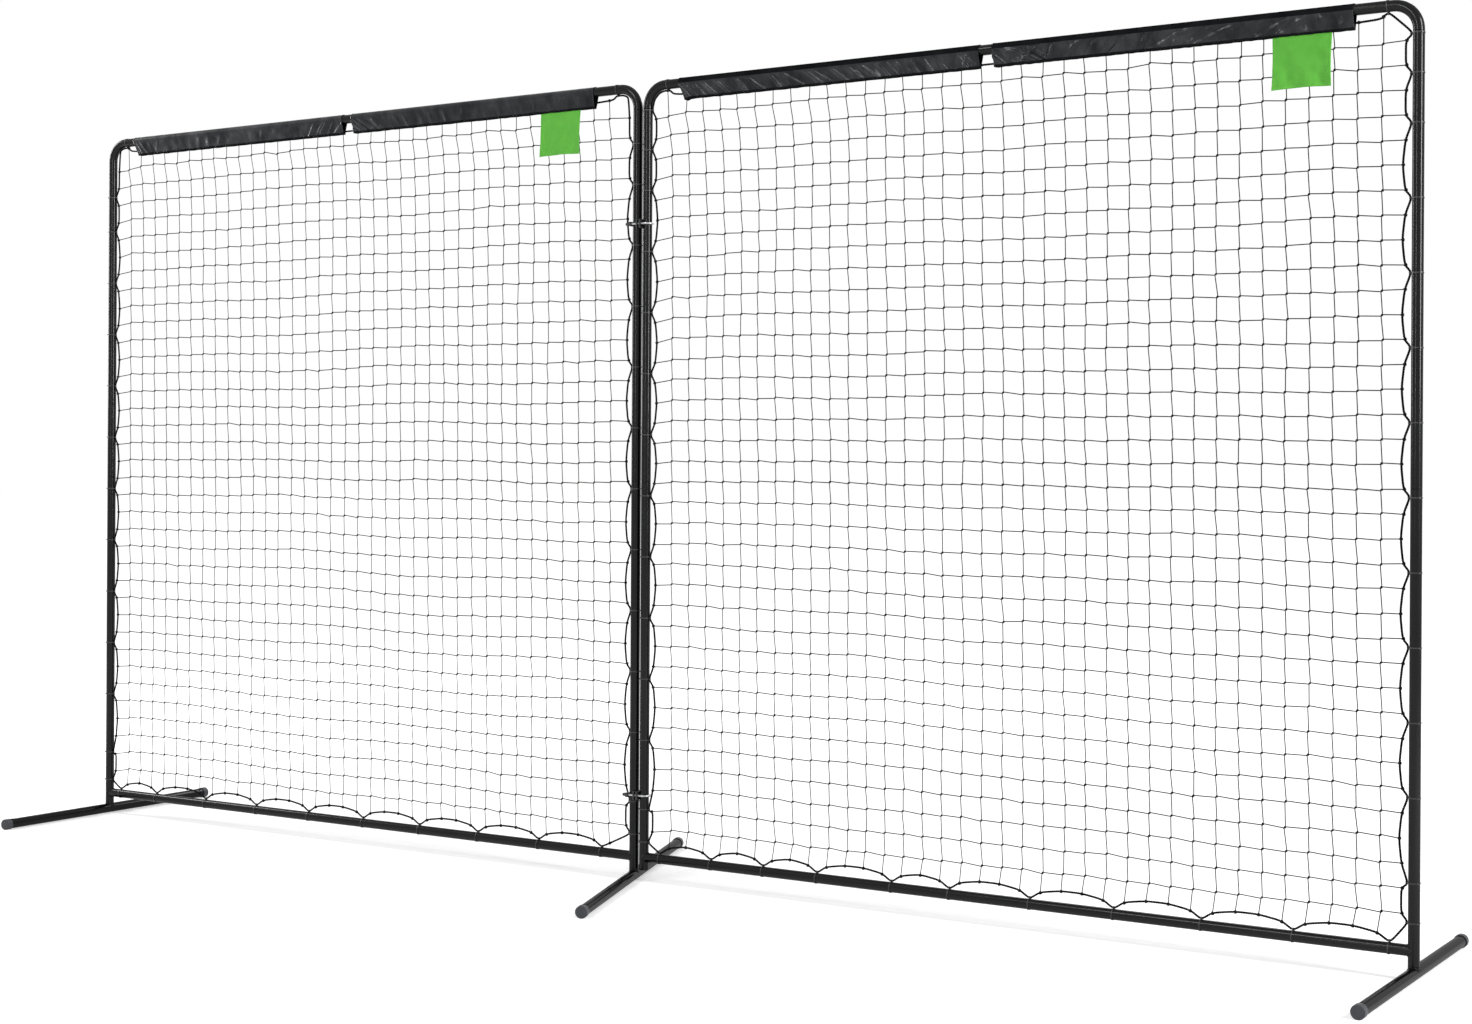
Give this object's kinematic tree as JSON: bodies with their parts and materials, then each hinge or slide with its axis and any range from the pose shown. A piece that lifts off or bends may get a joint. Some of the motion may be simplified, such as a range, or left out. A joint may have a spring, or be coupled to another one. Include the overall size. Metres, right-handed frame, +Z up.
{
  "type": "rebounder net",
  "caption": "Freestanding black steel-tube ball-stop and rebound net: side-by-side square frames joined by U-bolts, mesh nets tied on by a scalloped rope, top sleeves, tags and cross feet.",
  "frame": {"origin": "on the ground, midway along the two frames and between the front and back ends of the feet", "axes": "+X along the frames towards the right-hand one seen from the front, +Y away from the front, +Z up"},
  "size_m": [5.9856, 1.4332, 3.0017],
  "materials": {
    "frame_tube": "gloss black powder coat",
    "foot_tube": "gloss black powder coat",
    "end_cap": "matte",
    "net_cord": "braided cord",
    "border_rope": "twisted rope",
    "cable_tie": "satin",
    "sleeve_cloth": "coated cloth, soft sheen",
    "tag_cloth": "plain bright green cloth",
    "zinc": "zinc plated",
    "spacer_plastic": "satin",
    "cap_nut": "black"
  },
  "bodies": {
    "left_frame": {"left_outer_lower_post": "frame_tube", "left_outer_upper_post": "frame_tube", "left_inner_lower_post": "frame_tube", "left_inner_upper_post": "frame_tube", "left_top_rail_outer": "frame_tube", "left_top_rail_inner": "frame_tube", "left_bottom_rail_outer": "frame_tube", "left_bottom_rail_inner": "frame_tube", "left_net": "net_cord", "left_border_rope": "border_rope", "left_cable_ties": "cable_tie", "left_sleeve_outer": "sleeve_cloth", "left_sleeve_inner": "sleeve_cloth", "left_tag": "tag_cloth", "upper_u_bolt": "zinc", "upper_spacer": "spacer_plastic", "upper_saddle": "spacer_plastic", "upper_cap_nuts": "cap_nut", "lower_u_bolt": "zinc", "lower_spacer": "spacer_plastic", "lower_saddle": "spacer_plastic", "lower_cap_nuts": "cap_nut"},
    "right_frame": {"right_outer_lower_post": "frame_tube", "right_outer_upper_post": "frame_tube", "right_inner_lower_post": "frame_tube", "right_inner_upper_post": "frame_tube", "right_top_rail_outer": "frame_tube", "right_top_rail_inner": "frame_tube", "right_bottom_rail_outer": "frame_tube", "right_bottom_rail_inner": "frame_tube", "right_net": "net_cord", "right_border_rope": "border_rope", "right_cable_ties": "cable_tie", "right_sleeve_outer": "sleeve_cloth", "right_sleeve_inner": "sleeve_cloth", "right_tag": "tag_cloth"},
    "left_foot": {"left_foot": "foot_tube", "left_foot_spigot": "foot_tube", "left_foot_caps": "end_cap"},
    "middle_foot": {"middle_foot": "foot_tube", "middle_foot_spigot": "foot_tube", "middle_foot_caps": "end_cap"},
    "right_foot": {"right_foot": "foot_tube", "right_foot_spigot": "foot_tube", "right_foot_caps": "end_cap"}
  },
  "joints": [
    {"name": "frame_hinge", "type": "hinge", "parent": "left_frame", "child": "right_frame", "pos_m": [0.023, 0, 0], "axis": [0, 0, 1], "range_deg": [-90, 90]},
    {"name": "left_foot_turn", "type": "hinge", "parent": "left_frame", "child": "left_foot", "pos_m": [-2.937, 0, 0.0425], "axis": [0, 0, 1], "range_deg": [-93.2, 86.8]},
    {"name": "middle_foot_turn", "type": "hinge", "parent": "left_frame", "child": "middle_foot", "pos_m": [-0.023, 0, 0.0425], "axis": [0, 0, 1], "range_deg": [-113, 67]},
    {"name": "right_foot_turn", "type": "hinge", "parent": "right_frame", "child": "right_foot", "pos_m": [2.937, 0, 0.0425], "axis": [0, 0, 1], "range_deg": [-93.2, 86.8]}
  ]
}
